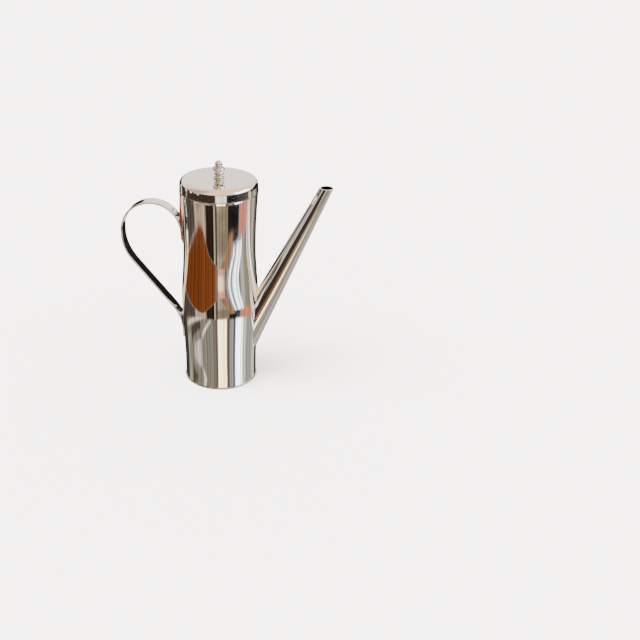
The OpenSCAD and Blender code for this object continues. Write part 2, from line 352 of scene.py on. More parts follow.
# fine upright streaks, as cloth, planks and many small things at a distance make
STREAK_SCALE, STREAK_DEPTH, STREAK_FADE = 0.22, 2.4, (0, 10)
sockets = {"W": azimuth, "Scale": STREAK_SCALE, "Detail": 4.0}
streaks = azimuth.node("ShaderNodeTexNoise", {"noise_dimensions": "1D"}, sockets)
strength = 1 + (streaks - 0.5) * STREAK_DEPTH * (1 - fade(elevation, *STREAK_FADE))
glow = colour.node("ShaderNodeBackground", None, {"Color": colour, "Strength": strength})
glow.node("ShaderNodeOutputWorld", None, {"Surface": glow})
print("strongest card:", max(max(card.shade) for card in cards))

# %% [markdown]
# ## Floor, backdrop and key light
# The floor is a plain pale sheet, far wider than the view. It catches the pot's soft shadow, which
# is what makes the pot stand on it. A glowing paper wall closes the view behind it for low
# cameras. A broad sun, forty degrees across, is the key light: it is equally strong all over the
# floor. All three are kept out of the silver's reflections, where the tent takes their place: a
# white sheet mirrored all round would bleach the metal.

# %% Floor, backdrop and key light
FLOOR_SIDE, BACKDROP_R, BACKDROP_H = 24.0, 9.0, 6.0
PAPER, BACKDROP_GLOW = (0.86, 0.855, 0.85), 4.4
KEY_SPREAD, KEY_STRENGTH, KEY_FROM = 40, 13.0, Vector((-0.9, -0.5, 2.1))


def paper(name, piece, glow):
    """Makes a piece a matt sheet that the silver doesn't mirror, with a glow of its own."""
    finish = bpy.data.materials.new(name)
    finish.use_nodes = True
    shader = finish.node_tree.nodes["Principled BSDF"]
    shader.inputs["Base Color"].default_value = (*PAPER, 1)
    shader.inputs["Roughness"].default_value = 0.8
    shader.inputs["Specular IOR Level"].default_value = 0.2
    shader.inputs["Emission Color"].default_value = (*PAPER, 1)
    shader.inputs["Emission Strength"].default_value = glow
    piece.data.materials.append(finish)
    piece.visible_glossy = False
    piece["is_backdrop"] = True


bpy.ops.object.select_all(action="DESELECT")
bpy.ops.mesh.primitive_plane_add(size=FLOOR_SIDE, location=(0, 0, 0))
floor = bpy.context.object
floor.name = "floor"
paper("floor_paper", floor, glow=0.0)
bpy.ops.mesh.primitive_cylinder_add(
    vertices=96,
    radius=BACKDROP_R,
    depth=BACKDROP_H,
    end_fill_type="NOTHING",
    location=(0, 0, BACKDROP_H / 2),
)
backdrop = bpy.context.object
backdrop.name = "backdrop"
paper("backdrop_paper", backdrop, glow=BACKDROP_GLOW)

key_data = bpy.data.lights.new("key", "SUN")
key_data.angle = math.radians(KEY_SPREAD)
key_data.energy = KEY_STRENGTH
key = bpy.data.objects.new("key", key_data)
bpy.context.scene.collection.objects.link(key)
key.visible_glossy = False
key.rotation_euler = KEY_FROM.to_track_quat("Z", "Y").to_euler()
print("floor", FLOOR_SIDE, "m wide, backdrop", BACKDROP_R, "m away, key", KEY_STRENGTH, "W/m2")

# %% [markdown]
# ## Drawing an outline and turning it
# Most of the pot was spun or turned on a lathe, and the same works here: half the section is
# drawn as a chain of edges and spun once round the upright axis. A sharp corner in the metal is
# never quite sharp, and it is the tiny rounding that catches the light, so each corner of an
# outline carries its own radius. A short straight guard on both sides of each rounding keeps the
# smooth shading of the corner from spilling over the flat next to it.


# %% Outline helpers
GUARD = 0.4  # length of the guards beside a rounding, as a share of its radius


def softened(corners, steps=4):
    """The outline through (radius, height, rounding) corners, with an arc at each rounded one."""
    outline = []
    for index, (x, z, rounding) in enumerate(corners):
        here = Vector((x, z))
        if not rounding:
            outline.append(here)
            continue
        back = (Vector(corners[index - 1][:2]) - here).normalized()
        on = (Vector(corners[(index + 1) % len(corners)][:2]) - here).normalized()
        half = back.angle(on) / 2
        reach = rounding / math.tan(half)
        centre = here + (back + on).normalized() * rounding / math.sin(half)
        spoke_in, spoke_out = here + back * reach - centre, here + on * reach - centre
        sweep = spoke_in.angle_signed(spoke_out)
        outline.append(centre + spoke_in + back * rounding * GUARD)
        for k in range(steps + 1):
            outline.append(centre + Matrix.Rotation(-sweep * k / steps, 2) @ spoke_in)
        outline.append(centre + spoke_out + on * rounding * GUARD)
    return outline


def arc(x, z, radius, first, last, steps, squash=1.0):
    """Points on an arc round (x, z), between two angles in degrees."""
    angles = [math.radians(first + (last - first) * k / steps) for k in range(steps + 1)]
    return [Vector((x + radius * math.cos(a), z + radius * squash * math.sin(a))) for a in angles]


def clear_selection():
    """Leaves edit mode and deselects everything."""
    if bpy.context.mode != "OBJECT":
        bpy.ops.object.mode_set(mode="OBJECT")
    bpy.ops.object.select_all(action="DESELECT")


def select_only(*pieces):
    """Selects these pieces and makes the first of them active."""
    clear_selection()
    for piece in pieces:
        piece.select_set(True)
    bpy.context.view_layer.objects.active = pieces[0]


MERGE_GAP = 0.002  # millimetres, far under the smallest edge


def tidy_mesh():
    """Merges doubles, turns the faces outwards and leaves edit mode."""
    bpy.ops.mesh.select_all(action="SELECT")
    bpy.ops.mesh.remove_doubles(threshold=MERGE_GAP * MM)
    bpy.ops.mesh.normals_make_consistent(inside=False)
    bpy.ops.object.mode_set(mode="OBJECT")


def smooth(piece, sharp=32):
    """Shades a piece smooth, except over edges sharper than an angle in degrees."""
    select_only(piece)
    bpy.ops.object.shade_smooth_by_angle(angle=math.radians(sharp))


def turned(name, outline, steps=160, closed=False):
    """Draws an outline of (radius, height) points in millimetres and spins it round the Z axis.

    A closed outline comes back to its first point, as a ring's does. Others end on the axis.
    """
    clear_selection()
    bpy.ops.mesh.primitive_plane_add(size=MM)
    piece = bpy.context.object
    piece.name = name
    bpy.ops.object.mode_set(mode="EDIT")
    bpy.ops.mesh.select_all(action="SELECT")
    bpy.ops.mesh.merge(type="CENTER")
    places = [Vector((radius, 0, height)) * MM for radius, height in outline]
    if closed:
        places.append(places[0])
    bpy.ops.transform.translate(value=places[0])
    for before, after in zip(places, places[1:]):
        bpy.ops.mesh.extrude_region_move(TRANSFORM_OT_translate={"value": after - before})
    bpy.ops.mesh.select_all(action="SELECT")
    bpy.ops.mesh.spin(steps=steps, angle=TURN, center=(0, 0, 0), axis=(0, 0, 1))
    tidy_mesh()
    smooth(piece)
    return piece


def off_frame(piece, node):
    """Largest distance from the piece's vertices to the surface of its node, in millimetres."""
    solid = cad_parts[node].data
    corners = [v.co for v in solid.vertices]
    tree = BVHTree.FromPolygons(corners, [tuple(p.vertices) for p in solid.polygons])
    return max(tree.find_nearest(v.co)[3] for v in piece.data.vertices) / MM


def place(piece, body, node):
    """Sets a finished piece in the frame: what it rides on, and its node."""
    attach(piece, body)
    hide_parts(node)
    gap = off_frame(piece, node)
    print(f"{piece.name}: {len(piece.data.polygons)} faces, within {gap:.2f} mm of its solid")


print("outline helpers ready")

# %% [markdown]
# ## The body
# The body is a sheet of silver spun over a wooden former, so it has one wall thickness all the
# way: a straight foot, a slight belly, a waist and a flared mouth. Long half cosine waves join
# these, because spun metal never changes its slope suddenly. The outline goes up the outside,
# round a softened lip and down the inside.

# %% Body profile
WALL_T = 1.0
STRAIGHT_Z, BELLY_Z, WAIST_Z = 12.0, 88.0, 152.0
FOOT_R, BELLY_R, WAIST_R, MOUTH_R = 37.5, 39.5, 36.5, 38.7
BASE_T = high("base_disc")
MOUTH_Z = high("body_shell")


def ease(first, last, share):
    """From first to last on half a cosine wave."""
    return first + (last - first) * (1 - math.cos(math.pi * share)) / 2


def body_radius(z):
    """Outside radius of the body at a height."""
    if z <= STRAIGHT_Z:
        return FOOT_R
    if z <= BELLY_Z:
        return ease(FOOT_R, BELLY_R, (z - STRAIGHT_Z) / (BELLY_Z - STRAIGHT_Z))
    if z <= WAIST_Z:
        return ease(BELLY_R, WAIST_R, (z - BELLY_Z) / (WAIST_Z - BELLY_Z))
    flare = math.pi / 2 * (z - WAIST_Z) / (MOUTH_Z - WAIST_Z)
    return WAIST_R + (MOUTH_R - WAIST_R) * (1 - math.cos(flare))


print("body radii:", [round(body_radius(z), 1) for z in range(0, 209, 26)])

# %% Body shell
LIP, LIP_LEAN = 0.3, 0.03  # rounding of the lip, and how far the wall leans in 1 mm below it
RING_STEP = 2.0


def wall_line(inset, bottom, top):
    """Points up the body wall at an even pitch, moved in by inset."""
    count = round((top - bottom) / RING_STEP)
    heights = [bottom + (top - bottom) * k / count for k in range(count + 1)]
    return [Vector((body_radius(z) - inset, z)) for z in heights]


outside = wall_line(0, BASE_T, MOUTH_Z - 2 * LIP)
inside = wall_line(WALL_T, BASE_T, MOUTH_Z - 2 * LIP)
lip = softened(
    [
        (MOUTH_R - LIP_LEAN, MOUTH_Z - 1, 0),
        (MOUTH_R, MOUTH_Z, LIP),
        (MOUTH_R - WALL_T, MOUTH_Z, LIP),
        (MOUTH_R - WALL_T - LIP_LEAN, MOUTH_Z - 1, 0),
    ]
)[1:-1]
body_shell = turned("body_shell_spun", outside + lip + inside[::-1], closed=True)

# %% [markdown]
# The wall behind the spout isn't cut away. It is pierced with small round holes, which hold the
# grounds back when the coffee is poured. The holes are drilled as in the workshop, with a
# Boolean modifier and one set of joined drills.

# %% Strainer holes
SLOPE = math.radians(65)
SPOUT_REACH, SPOUT_Z = 106.0, high("spout")
SPOUT_TIP_R, SPOUT_ROOT_R, SPOUT_WALL = 6.2, 13.4, 0.9
SPOUT_RUN = (SPOUT_REACH - BELLY_R) / math.cos(SLOPE)
SPOUT_ROOT_Z = SPOUT_Z - SPOUT_RUN * math.sin(SLOPE)

HOLE_R, HOLE_PITCH, DRILL_LENGTH = 2.0, 7.0, 12.0
ROW_PITCH = HOLE_PITCH * math.sin(math.radians(60))
HOLES_HALF_WIDTH = SPOUT_ROOT_R - 4  # the holes fill an oval inside the spout's own
HOLES_HALF_HEIGHT = (SPOUT_ROOT_R - 5) / math.cos(SLOPE)

drills = []
for row in range(-3, 4):
    for side in (-1, 0, 1):
        y, z = (side + row % 2 / 2) * HOLE_PITCH, row * ROW_PITCH
        if math.hypot(y / HOLES_HALF_WIDTH, z / HOLES_HALF_HEIGHT) < 1:
            clear_selection()
            bpy.ops.mesh.primitive_cylinder_add(
                vertices=24,
                radius=HOLE_R * MM,
                depth=DRILL_LENGTH * MM,
                location=Vector((BELLY_R - 2, y, SPOUT_ROOT_Z + z)) * MM,
                rotation=(0, math.radians(90), 0),
            )
            drills.append(bpy.context.object)
print(len(drills), "holes behind the spout")
select_only(*drills)
bpy.ops.object.join()
drill_set = bpy.context.object


def cut(piece, cutter, operation="DIFFERENCE"):
    """Cuts a piece with another and removes the cutter."""
    select_only(piece)
    boolean = piece.modifiers.new("cut", "BOOLEAN")
    boolean.object = cutter
    boolean.operation = operation
    boolean.solver = "EXACT"
    bpy.ops.object.modifier_apply(modifier=boolean.name)
    bpy.data.objects.remove(cutter)


cut(body_shell, drill_set)
smooth(body_shell)
place(body_shell, "pot", "body_shell")

# %% [markdown]
# ## The base and the mouth ring
# A disc a little wider than the wall is soldered under the body. It shows from outside as one fine
# bright line. Its edge is rolled round, and a shallow recess below leaves only a ring to stand on.
# Inside the mouth a ring is soldered to the wall, to stiffen it and to guide the lid.

# %% Base disc and mouth ring
RECESS_R, RECESS_DEPTH, EDGE_ROLL = 31.0, 0.6, 0.6
base_r = high("base_disc", "x")
base_disc = turned(
    "base_disc_turned",
    [(0, RECESS_DEPTH)]
    + softened(
        [
            (RECESS_R - 4, RECESS_DEPTH, 0),
            (RECESS_R, RECESS_DEPTH, 0.2),
            (RECESS_R, 0, 0.2),
            (base_r, 0, EDGE_ROLL),
            (base_r, BASE_T, EDGE_ROLL),
            (FOOT_R - 2, BASE_T, 0),
        ]
    )
    + [(0, BASE_T)],
)
place(base_disc, "pot", "base_disc")

RING_INSIDE_R, RING_BED = 36.8, 0.05  # the ring beds this far into the wall and below the lip
ring_bottom, ring_top = low("mouth_ring"), MOUTH_Z - RING_BED
ring_outline = softened(
    [
        (body_radius(ring_bottom) - WALL_T + RING_BED, ring_bottom, 0),
        (RING_INSIDE_R, ring_bottom, 0.15),
        (RING_INSIDE_R, ring_top, 0.25),
        (MOUTH_R - WALL_T + RING_BED, ring_top, 0),
    ]
)
mouth_ring = turned("mouth_ring_turned", ring_outline, closed=True)
place(mouth_ring, "pot", "mouth_ring")

# %% [markdown]
# ## The spout
# The spout is a sheet rolled into a long cone, cut level at its mouth and mitred to the round body.
# A cone primitive and a Boolean would give its shape but a poor mesh along the mitre. Here a
# circle is extruded ring by ring instead: out of the body over a small hollow fillet of solder, up
# the straight lines of the cone, round the lip and down the inside again. Each ring is laid where
# those lines meet the body or a level, so the mitre and the level mouth need no cutting.


# %% Laying rings
def lofted(name, sections, capped=True):
    """Extrudes a circle through sections, each a list of points in millimetres, one per vertex."""
    clear_selection()
    bpy.ops.mesh.primitive_circle_add(vertices=len(sections[0]), radius=MM, fill_type="NOTHING")
    piece = bpy.context.object
    piece.name = name
    bpy.ops.object.mode_set(mode="EDIT")
    grid = bmesh.from_edit_mesh(piece.data)
    place_in_ring = grid.verts.layers.int.new("place_in_ring")
    for index, corner in enumerate(grid.verts):
        corner[place_in_ring] = index
    bpy.ops.mesh.select_all(action="SELECT")
    for count, section in enumerate(sections):
        if count:
            bpy.ops.mesh.extrude_region_move()
        grid = bmesh.from_edit_mesh(piece.data)
        place_in_ring = grid.verts.layers.int["place_in_ring"]
        for corner in grid.verts:
            if corner.select:
                corner.co = Vector(section[corner[place_in_ring]]) * MM
        bmesh.update_edit_mesh(piece.data)
    if capped:
        bpy.ops.mesh.edge_face_add()
        bpy.ops.mesh.select_all(action="DESELECT")
        bpy.ops.mesh.select_mode(type="VERT")
        bpy.ops.mesh.select_non_manifold(extend=False)
        bpy.ops.mesh.edge_face_add()
    tidy_mesh()
    piece.data.attributes.remove(piece.data.attributes["place_in_ring"])
    return piece


SPOUT_SIDES, HALVINGS = 96, 40
BEFORE_MOUTH, PAST_END = 20, 40  # how far the searches along the cone reach
AXIS = Vector((-math.cos(SLOPE), 0, -math.sin(SLOPE)))
OUTWARD = Vector((math.sin(SLOPE), 0, -math.cos(SLOPE)))
SIDEWAYS = Vector((0, 1, 0))
MOUTH_CENTRE = Vector((SPOUT_REACH, 0, SPOUT_Z))
TAPER = (SPOUT_ROOT_R - SPOUT_TIP_R) / SPOUT_RUN


def on_cone(angle, reach, inset=0.0):
    """Point of the cone at an angle round its axis and a distance down it, moved in by inset."""
    radius = SPOUT_TIP_R - inset + reach * TAPER
    spoke = OUTWARD * math.cos(angle) + SIDEWAYS * math.sin(angle)
    return MOUTH_CENTRE + AXIS * reach + spoke * radius


def reach_where(angle, inset, past, first, last):
    """Distance down the axis at which a line of the cone passes a test, by halving."""
    for _ in range(HALVINGS):
        middle = (first + last) / 2
        if past(on_cone(angle, middle, inset)):
            last = middle
        else:
            first = middle
    return (first + last) / 2


def mouth_reach(angle, inset, height):
    """Where the line meets the level at a height, near the mouth."""
    return reach_where(angle, inset, lambda p: p.z <= height, -BEFORE_MOUTH, PAST_END)


def in_body(point):
    """Whether a point lies inside the body's outside surface."""
    return math.hypot(point.x, point.y) <= body_radius(point.z)


def wall_reach(angle, inset=0.0):
    """Where the line meets the outside of the body."""
    return reach_where(angle, inset, in_body, SPOUT_RUN / 2, SPOUT_RUN + PAST_END)


def onto_wall(point, sink=0.0):
    """The nearest point of the body at the same height, sunk below its surface."""
    scale = (body_radius(point.z) - sink) / math.hypot(point.x, point.y)
    return Vector((point.x * scale, point.y * scale, point.z))


# %% Rings of the spout
FILLET, FILLET_STEPS = 1.3, 6
CONE_STEPS = 28
SPOUT_LIP, LIP_STEPS = 0.25, 4
SOLDERED_IN = 0.3  # the spout's end rings lie this deep in the body's wall
angles = [TURN * k / SPOUT_SIDES for k in range(SPOUT_SIDES)]
wall_at = [wall_reach(a) for a in angles]
roots = [on_cone(a, r) for a, r in zip(angles, wall_at)]
seam_centre = MOUTH_CENTRE + AXIS * SPOUT_RUN
skirts = []
for k, root in enumerate(roots):
    along_seam = (roots[(k + 1) % SPOUT_SIDES] - roots[k - 1]).normalized()
    outward_from_wall = Vector((root.x, root.y, 0)).normalized()
    away = along_seam.cross(outward_from_wall).normalized()
    if away.dot(root - seam_centre) < 0:
        away = -away
    skirts.append(onto_wall(root + away * FILLET))


def fillet_ring(share):
    """Ring of the solder fillet, from the body (0) up to the cone (1), on a quadratic curve."""
    ring = []
    for k, root in enumerate(roots):
        up_cone = on_cone(angles[k], wall_at[k] - FILLET)
        ring.append(skirts[k] * (1 - share) ** 2 + root * 2 * share * (1 - share) + up_cone * share**2)
    return ring


def cone_ring(share, inset=0.0):
    """Ring of the cone between its root (0) and its level mouth (1), just under the lip."""
    ring = []
    for k, angle in enumerate(angles):
        bottom = wall_at[k] - FILLET if not inset else wall_reach(angle, inset)
        top = mouth_reach(angle, inset, SPOUT_Z - 2 * SPOUT_LIP)
        ring.append(on_cone(angle, bottom + (top - bottom) * share, inset))
    return ring


def lip_ring(inset, below_mouth):
    """Ring at the mouth, moved in from the cone's outside and down from the level cut."""
    return [on_cone(a, mouth_reach(a, inset, SPOUT_Z - below_mouth), inset) for a in angles]


def quarter_round(radius, steps):
    """Places on a rounded edge, as distances in from each of its two faces."""
    bends = [math.radians(90 * k / steps) for k in range(steps + 1)]
    return [(radius * (1 - math.cos(b)), radius * (1 - math.sin(b))) for b in bends]


print("spout", round(SPOUT_RUN), "mm long on its axis, soldered along", SPOUT_SIDES, "points")

# %% Spout
shares = [k / CONE_STEPS for k in range(CONE_STEPS + 1)]
lip_round = quarter_round(SPOUT_LIP, LIP_STEPS)
spout_rings = [[onto_wall(p, SOLDERED_IN) for p in skirts]]
spout_rings += [fillet_ring(k / FILLET_STEPS) for k in range(FILLET_STEPS)]
spout_rings += [cone_ring(share) for share in shares]
spout_rings += [lip_ring(beside, below) for beside, below in lip_round]
spout_rings += [lip_ring(SPOUT_WALL - beside, below) for below, beside in lip_round]
spout_rings += [cone_ring(1 - share, SPOUT_WALL) for share in shares]
spout_rings.append([onto_wall(p, SOLDERED_IN) for p in spout_rings[-1]])
spout_rings.append(spout_rings[0])
spout = lofted("spout_rolled", spout_rings, capped=False)
smooth(spout, 40)
place(spout, "pot", "spout")

# %% [markdown]
# ## The handle
# The handle is a flat ribbon bent over its flat side into a loop. A curve with a bevel object
# would give a ribbon too, but its ends would be square. Laying sections works better: the middle
# line is walked like a turtle walks, straight and turning, and at each stop a flat section with
# softened edges is laid across it. At the two tails the sections narrow to a half round, and the
# flat dishes a little so that it hugs the round body.

# %% Middle line of the ribbon
PLATE_T = 1.2
RIBBON_W, RIBBON_T = 14.0, 1.6
UPPER_BED, LOWER_BED = 0.4, 0.3  # the tails bed this deep in the plate and in the body
PLATE_LOW, PLATE_HIGH = low("handle_mounting_plate"), high("handle_mounting_plate")
UPPER_TAIL_Z, LOWER_TAIL_Z = PLATE_LOW + 3, low("handle_ribbon")
UPPER_BEND_Z, FRONT_BEND_R, BACK_BEND_R = 163.0, 28.8, 31.4
BACK_DROP = 3.0
GRIP_BEND_R, GRIP_TURN = 46.7, math.radians(38.9)
LOWER_BEND_R = 40.0

upper_u = WAIST_R + PLATE_T + RIBBON_T / 2 - UPPER_BED
crest_u = upper_u + FRONT_BEND_R
back_u = crest_u + BACK_BEND_R
back_z = UPPER_BEND_Z + FRONT_BEND_R - BACK_BEND_R
grip_u = back_u - GRIP_BEND_R * (1 - math.cos(GRIP_TURN))
grip_z = back_z - BACK_DROP - GRIP_BEND_R * math.sin(GRIP_TURN)
lower_u = body_radius(LOWER_TAIL_Z + RIBBON_W / 2) + RIBBON_T / 2 - LOWER_BED
slope_run = (grip_u - lower_u - LOWER_BEND_R * (1 - math.cos(GRIP_TURN))) / math.sin(GRIP_TURN)
lower_z = grip_z - slope_run * math.cos(GRIP_TURN) - LOWER_BEND_R * math.sin(GRIP_TURN)

# each stretch of the walk: its length, and the radius it turns on, if it turns; a turn to the
# other hand has a negative radius
SQUARE = math.radians(90)
WALK = [
    (UPPER_BEND_Z - UPPER_TAIL_Z, None),
    (SQUARE * FRONT_BEND_R, FRONT_BEND_R),
    (SQUARE * BACK_BEND_R, BACK_BEND_R),
    (BACK_DROP, None),
    (GRIP_TURN * GRIP_BEND_R, GRIP_BEND_R),
    (slope_run, None),
    (GRIP_TURN * LOWER_BEND_R, -LOWER_BEND_R),
    (lower_z - LOWER_TAIL_Z, None),
]
RIBBON_LENGTH = sum(length for length, _ in WALK)


def ribbon_place(run):
    """Distance from the pot's axis, height and heading of the middle line, at a run along it."""
    u, z, heading = upper_u, UPPER_TAIL_Z, SQUARE
    for index, (length, radius) in enumerate(WALK):
        part = min(run, length) if index < len(WALK) - 1 else run
        if radius is None:
            u += math.cos(heading) * part
            z += math.sin(heading) * part
        else:
            centre_u = u + math.sin(heading) * radius
            centre_z = z - math.cos(heading) * radius
            heading -= part / radius
            u = centre_u - math.sin(heading) * radius
            z = centre_z + math.cos(heading) * radius
        run -= part
        if run <= 0:
            break
    return u, z, heading


print(f"ribbon {RIBBON_LENGTH:.0f} mm long, crest at {UPPER_BEND_Z + FRONT_BEND_R:.1f} mm")

# %% Section of the ribbon
EDGE_R, EDGE_STEPS = 0.5, 4
FACE_SHARES = (-0.7, -0.35, 0.0, 0.35, 0.7)
HALF_W = RIBBON_W / 2


def strip_section(thickness):
    """Points round a flat strip's section: reach from its middle, share of it sideways, height."""
    edge_round = quarter_round(EDGE_R, EDGE_STEPS)
    edge = [(HALF_W - inset, thickness / 2 - below) for below, inset in edge_round]
    edge += [(reach, -height) for reach, height in edge[::-1]]
    face = [(HALF_W - EDGE_R, share) for share in FACE_SHARES]
    section = [(reach, share, thickness / 2) for reach, share in face]
    section += [(reach, 1, height) for reach, height in edge]
    section += [(reach, share, -thickness / 2) for reach, share in face[::-1]]
    section += [(reach, -1, height) for reach, height in edge[::-1]]
    return section


DISH_START, DISH_END = 9.0, 18.0


def ribbon_point(run, side, height):
    """Point of the ribbon: run along it, to one side and above its middle line."""
    u, z, heading = ribbon_place(run)
    u -= math.sin(heading) * height
    z += math.cos(heading) * height
    from_tip = min(run, RIBBON_LENGTH - run)
    dish = 1 - min(1, max(0, (from_tip - DISH_START) / (DISH_END - DISH_START)))
    hug = body_radius(z) + PLATE_T * (run < RIBBON_LENGTH / 2)
    u -= dish * dish * (3 - 2 * dish) * (hug - math.sqrt(hug**2 - side**2))
    return Vector((-u, side, z))


section = strip_section(RIBBON_T)
print(len(section), "points round the ribbon")


def ribbon_ring(tip, bend=SQUARE, onward=1):
    """Ring across the ribbon, as on a half-round tail that starts at a tip: straight if square."""
    ring = []
    for reach, share, height in section:
        run = tip + onward * (HALF_W - reach * math.cos(bend))
        ring.append(ribbon_point(run, reach * share * math.sin(bend), height))
    return ring


# %% Ribbon
TAIL_BENDS = [math.radians(a) for a in (4, 12, 22, 34, 46, 58, 70, 80)]
PITCH = 1.6
between_tails = RIBBON_LENGTH - RIBBON_W
count = round(between_tails / PITCH)
ribbon_rings = [ribbon_ring(0, bend) for bend in TAIL_BENDS]
ribbon_rings += [ribbon_ring(between_tails * k / count) for k in range(count + 1)]
ribbon_rings += [ribbon_ring(RIBBON_LENGTH, bend, -1) for bend in TAIL_BENDS[::-1]]
handle_ribbon = lofted("handle_ribbon_bent", ribbon_rings)
smooth(handle_ribbon, 40)
place(handle_ribbon, "pot", "handle_ribbon")

# %% [markdown]
# ## The mounting plate
# A thin plate is soldered to the body between the ribbon and the mouth. Below it is an even sheet
# under the ribbon's tail. Above the bend a rib thickens it, so that its face runs nearly straight
# over the hollow of the waist. It is laid up in the same way as the ribbon, level by level, with
# its inside on the body and its outside at the radius that each level calls for.

# %% Sections of the plate
PLATE_TOP_T, PLATE_EDGE, PLATE_SINK = 0.5, 0.35, 0.2
RIB_R, RIB_Z, RIB_START_Z, RIB_END_Z = 39.7, 176.0, 169.3, 201.5
THIN_FROM_Z = RIB_END_Z - 6


def plate_outside(z, side):
    """How far out the plate's face is, at a height and a place to one side of its middle."""
    sheet = body_radius(z) + (PLATE_T if z < THIN_FROM_Z else PLATE_TOP_T)
    u = math.sqrt(sheet**2 - side**2)
    if RIB_START_Z <= z <= RIB_END_Z:
        share = max(0, (z - RIB_Z) / (RIB_END_Z - RIB_Z))
        rib = RIB_R + (body_radius(RIB_END_Z) + PLATE_TOP_T - RIB_R) * share
        drum = math.inf
        lift = z - UPPER_BEND_Z
        if lift < FRONT_BEND_R + RIBBON_T / 2:
            drum = crest_u - math.sqrt((FRONT_BEND_R + RIBBON_T / 2) ** 2 - lift**2)
        u = max(u, min(math.sqrt(rib**2 - side**2), drum))
    return u


def plate_inside(z, side):
    """How far out the plate's back is, just inside the body wall."""
    return math.sqrt((body_radius(z) - PLATE_SINK) ** 2 - side**2)


def plate_point(z, side, depth):
    """Point of the plate: depth 0 on its face, 1 on its back, and fractions for its soft edge."""
    face, back = plate_outside(z, side), plate_inside(z, side)
    return Vector((-(face + (back - face) * depth), side, z))


def plate_ring(z, bend=SQUARE):
    """One level of the plate, from one edge over the face to the other and along its back."""
    half = HALF_W * math.sin(bend)
    edges = []
    for below, inset in quarter_round(PLATE_EDGE, EDGE_STEPS):
        side = (HALF_W - inset) * math.sin(bend)
        edges.append((side, below / (plate_outside(z, side) - plate_inside(z, side))))
    edges.append((half, 1.0))
    face_half = edges[0][0]
    ring = [plate_point(z, share * face_half, 0) for share in FACE_SHARES]
    ring += [plate_point(z, side, depth) for side, depth in edges]
    ring += [plate_point(z, share * half, 1.0) for share in FACE_SHARES[::-1]]
    ring += [plate_point(z, -side, depth) for side, depth in edges[::-1]]
    return ring


# %% Mounting plate
def climb(first, step, count):
    """A number of heights, each a step above the one before."""
    return [first + step * k for k in range(count)]


# the rib starts with a step, and the levels lie closest where it leaves the ribbon's bend
RIB_STEP, CLEAR_OF_BEND_Z, OVER_RIB_Z = 0.01, 178, 203.5
levels = climb(PLATE_LOW + HALF_W, 1.5, 9) + [RIB_START_Z - RIB_STEP]
levels += climb(RIB_START_Z, 0.8, 10) + climb(CLEAR_OF_BEND_Z, 2, 12)
levels += [RIB_END_Z, OVER_RIB_Z, PLATE_HIGH - 0.2, PLATE_HIGH]
plate_rings = [plate_ring(PLATE_LOW + HALF_W * (1 - math.cos(b)), b) for b in TAIL_BENDS]
plate_rings += [plate_ring(z) for z in levels]
plate = lofted("handle_plate_soldered", plate_rings)
smooth(plate, 40)
place(plate, "pot", "handle_mounting_plate")

# %% [markdown]
# ## The lid
# The lid is a shallow spun cap with a broad rounded shoulder and a dead flat top. Under it a thin
# bezel drops into the mouth and keeps the lid from sliding off as the pot is tipped. Both are
# turned, and the cap's lower edge is rolled: it is the bright line under the dark skirt.

# %% Lid cap
LID_WALL, SHOULDER_R, STUD_R = 1.2, 5.5, 1.5
LID_EDGE, DRAFT = 0.35, 0.33  # a pressed skirt is a little narrower at its upper end
lid_r, lid_top_z = high("lid_cap", "x"), high("lid_cap")
flat_r, shoulder_z = lid_r - SHOULDER_R, lid_top_z - SHOULDER_R
SKIRT_SHARES, SHOULDER_STARTS = (0.3, 0.7, 0.95), 3.2  # rings up the skirt; degrees up the arc
CROWN_SHARES = (0.985, 0.95, 0.85, 0.7, 0.5, 0.3, 0.15)  # rings on the flat, closest at its edge

skirt_edge = softened(
    [
        (lid_r - LID_WALL, MOUTH_Z + 2, 0),
        (lid_r - LID_WALL, MOUTH_Z, LID_EDGE),
        (lid_r, MOUTH_Z, LID_EDGE),
        (lid_r - DRAFT, shoulder_z, 0),
    ]
)[:-1]
skirt = [(lid_r - DRAFT * k, MOUTH_Z + (shoulder_z - MOUTH_Z) * k) for k in SKIRT_SHARES]
crown = [(flat_r * share, lid_top_z) for share in CROWN_SHARES]
under = [(r, lid_top_z - LID_WALL) for r, _ in crown[::-1]]
cap_outline = (
    skirt_edge
    + skirt
    + arc(flat_r - DRAFT, shoulder_z, SHOULDER_R, SHOULDER_STARTS, 90, 24)
    + crown
    + [(STUD_R, lid_top_z), (STUD_R, lid_top_z - LID_WALL)]
    + under
    + arc(flat_r, shoulder_z, SHOULDER_R - LID_WALL, 90, 0, 16)
)
lid_cap = turned("lid_cap_spun", cap_outline, closed=True)
place(lid_cap, "lid", "lid_cap")

# %% Lid bezel
BEZEL_T, FLANGE_T, BEZEL_PLAY = 0.8, 1.0, 0.3
bezel_low, flange_high = low("lid_bezel"), high("lid_bezel")
bezel_r, flange_r = RING_INSIDE_R - BEZEL_PLAY, high("lid_bezel", "x")
bezel_outline = softened(
    [
        (bezel_r - BEZEL_T, flange_high, 0),
        (bezel_r - BEZEL_T, bezel_low, 0.3),
        (bezel_r, bezel_low, 0.3),
        (bezel_r, flange_high - FLANGE_T, 0.2),
        (flange_r, flange_high - FLANGE_T, 0.2),
        (flange_r, flange_high, 0.2),
    ]
)
lid_bezel = turned("lid_bezel_turned", bezel_outline, closed=True)
place(lid_bezel, "lid", "lid_bezel")

# %% [markdown]
# ## The finial and its fixings
# The finial is turned from solid: a foot, a waisted neck, a collar, a flat bead and a ball. A stud
# screws into it from inside the lid, and a washer and a nut hold it down. The fixings are small,
# so they are modelled simply but truly: the stud has a real thread, a sharp ridge that climbs one
# pitch for each turn, and the nut has its chamfered corners.

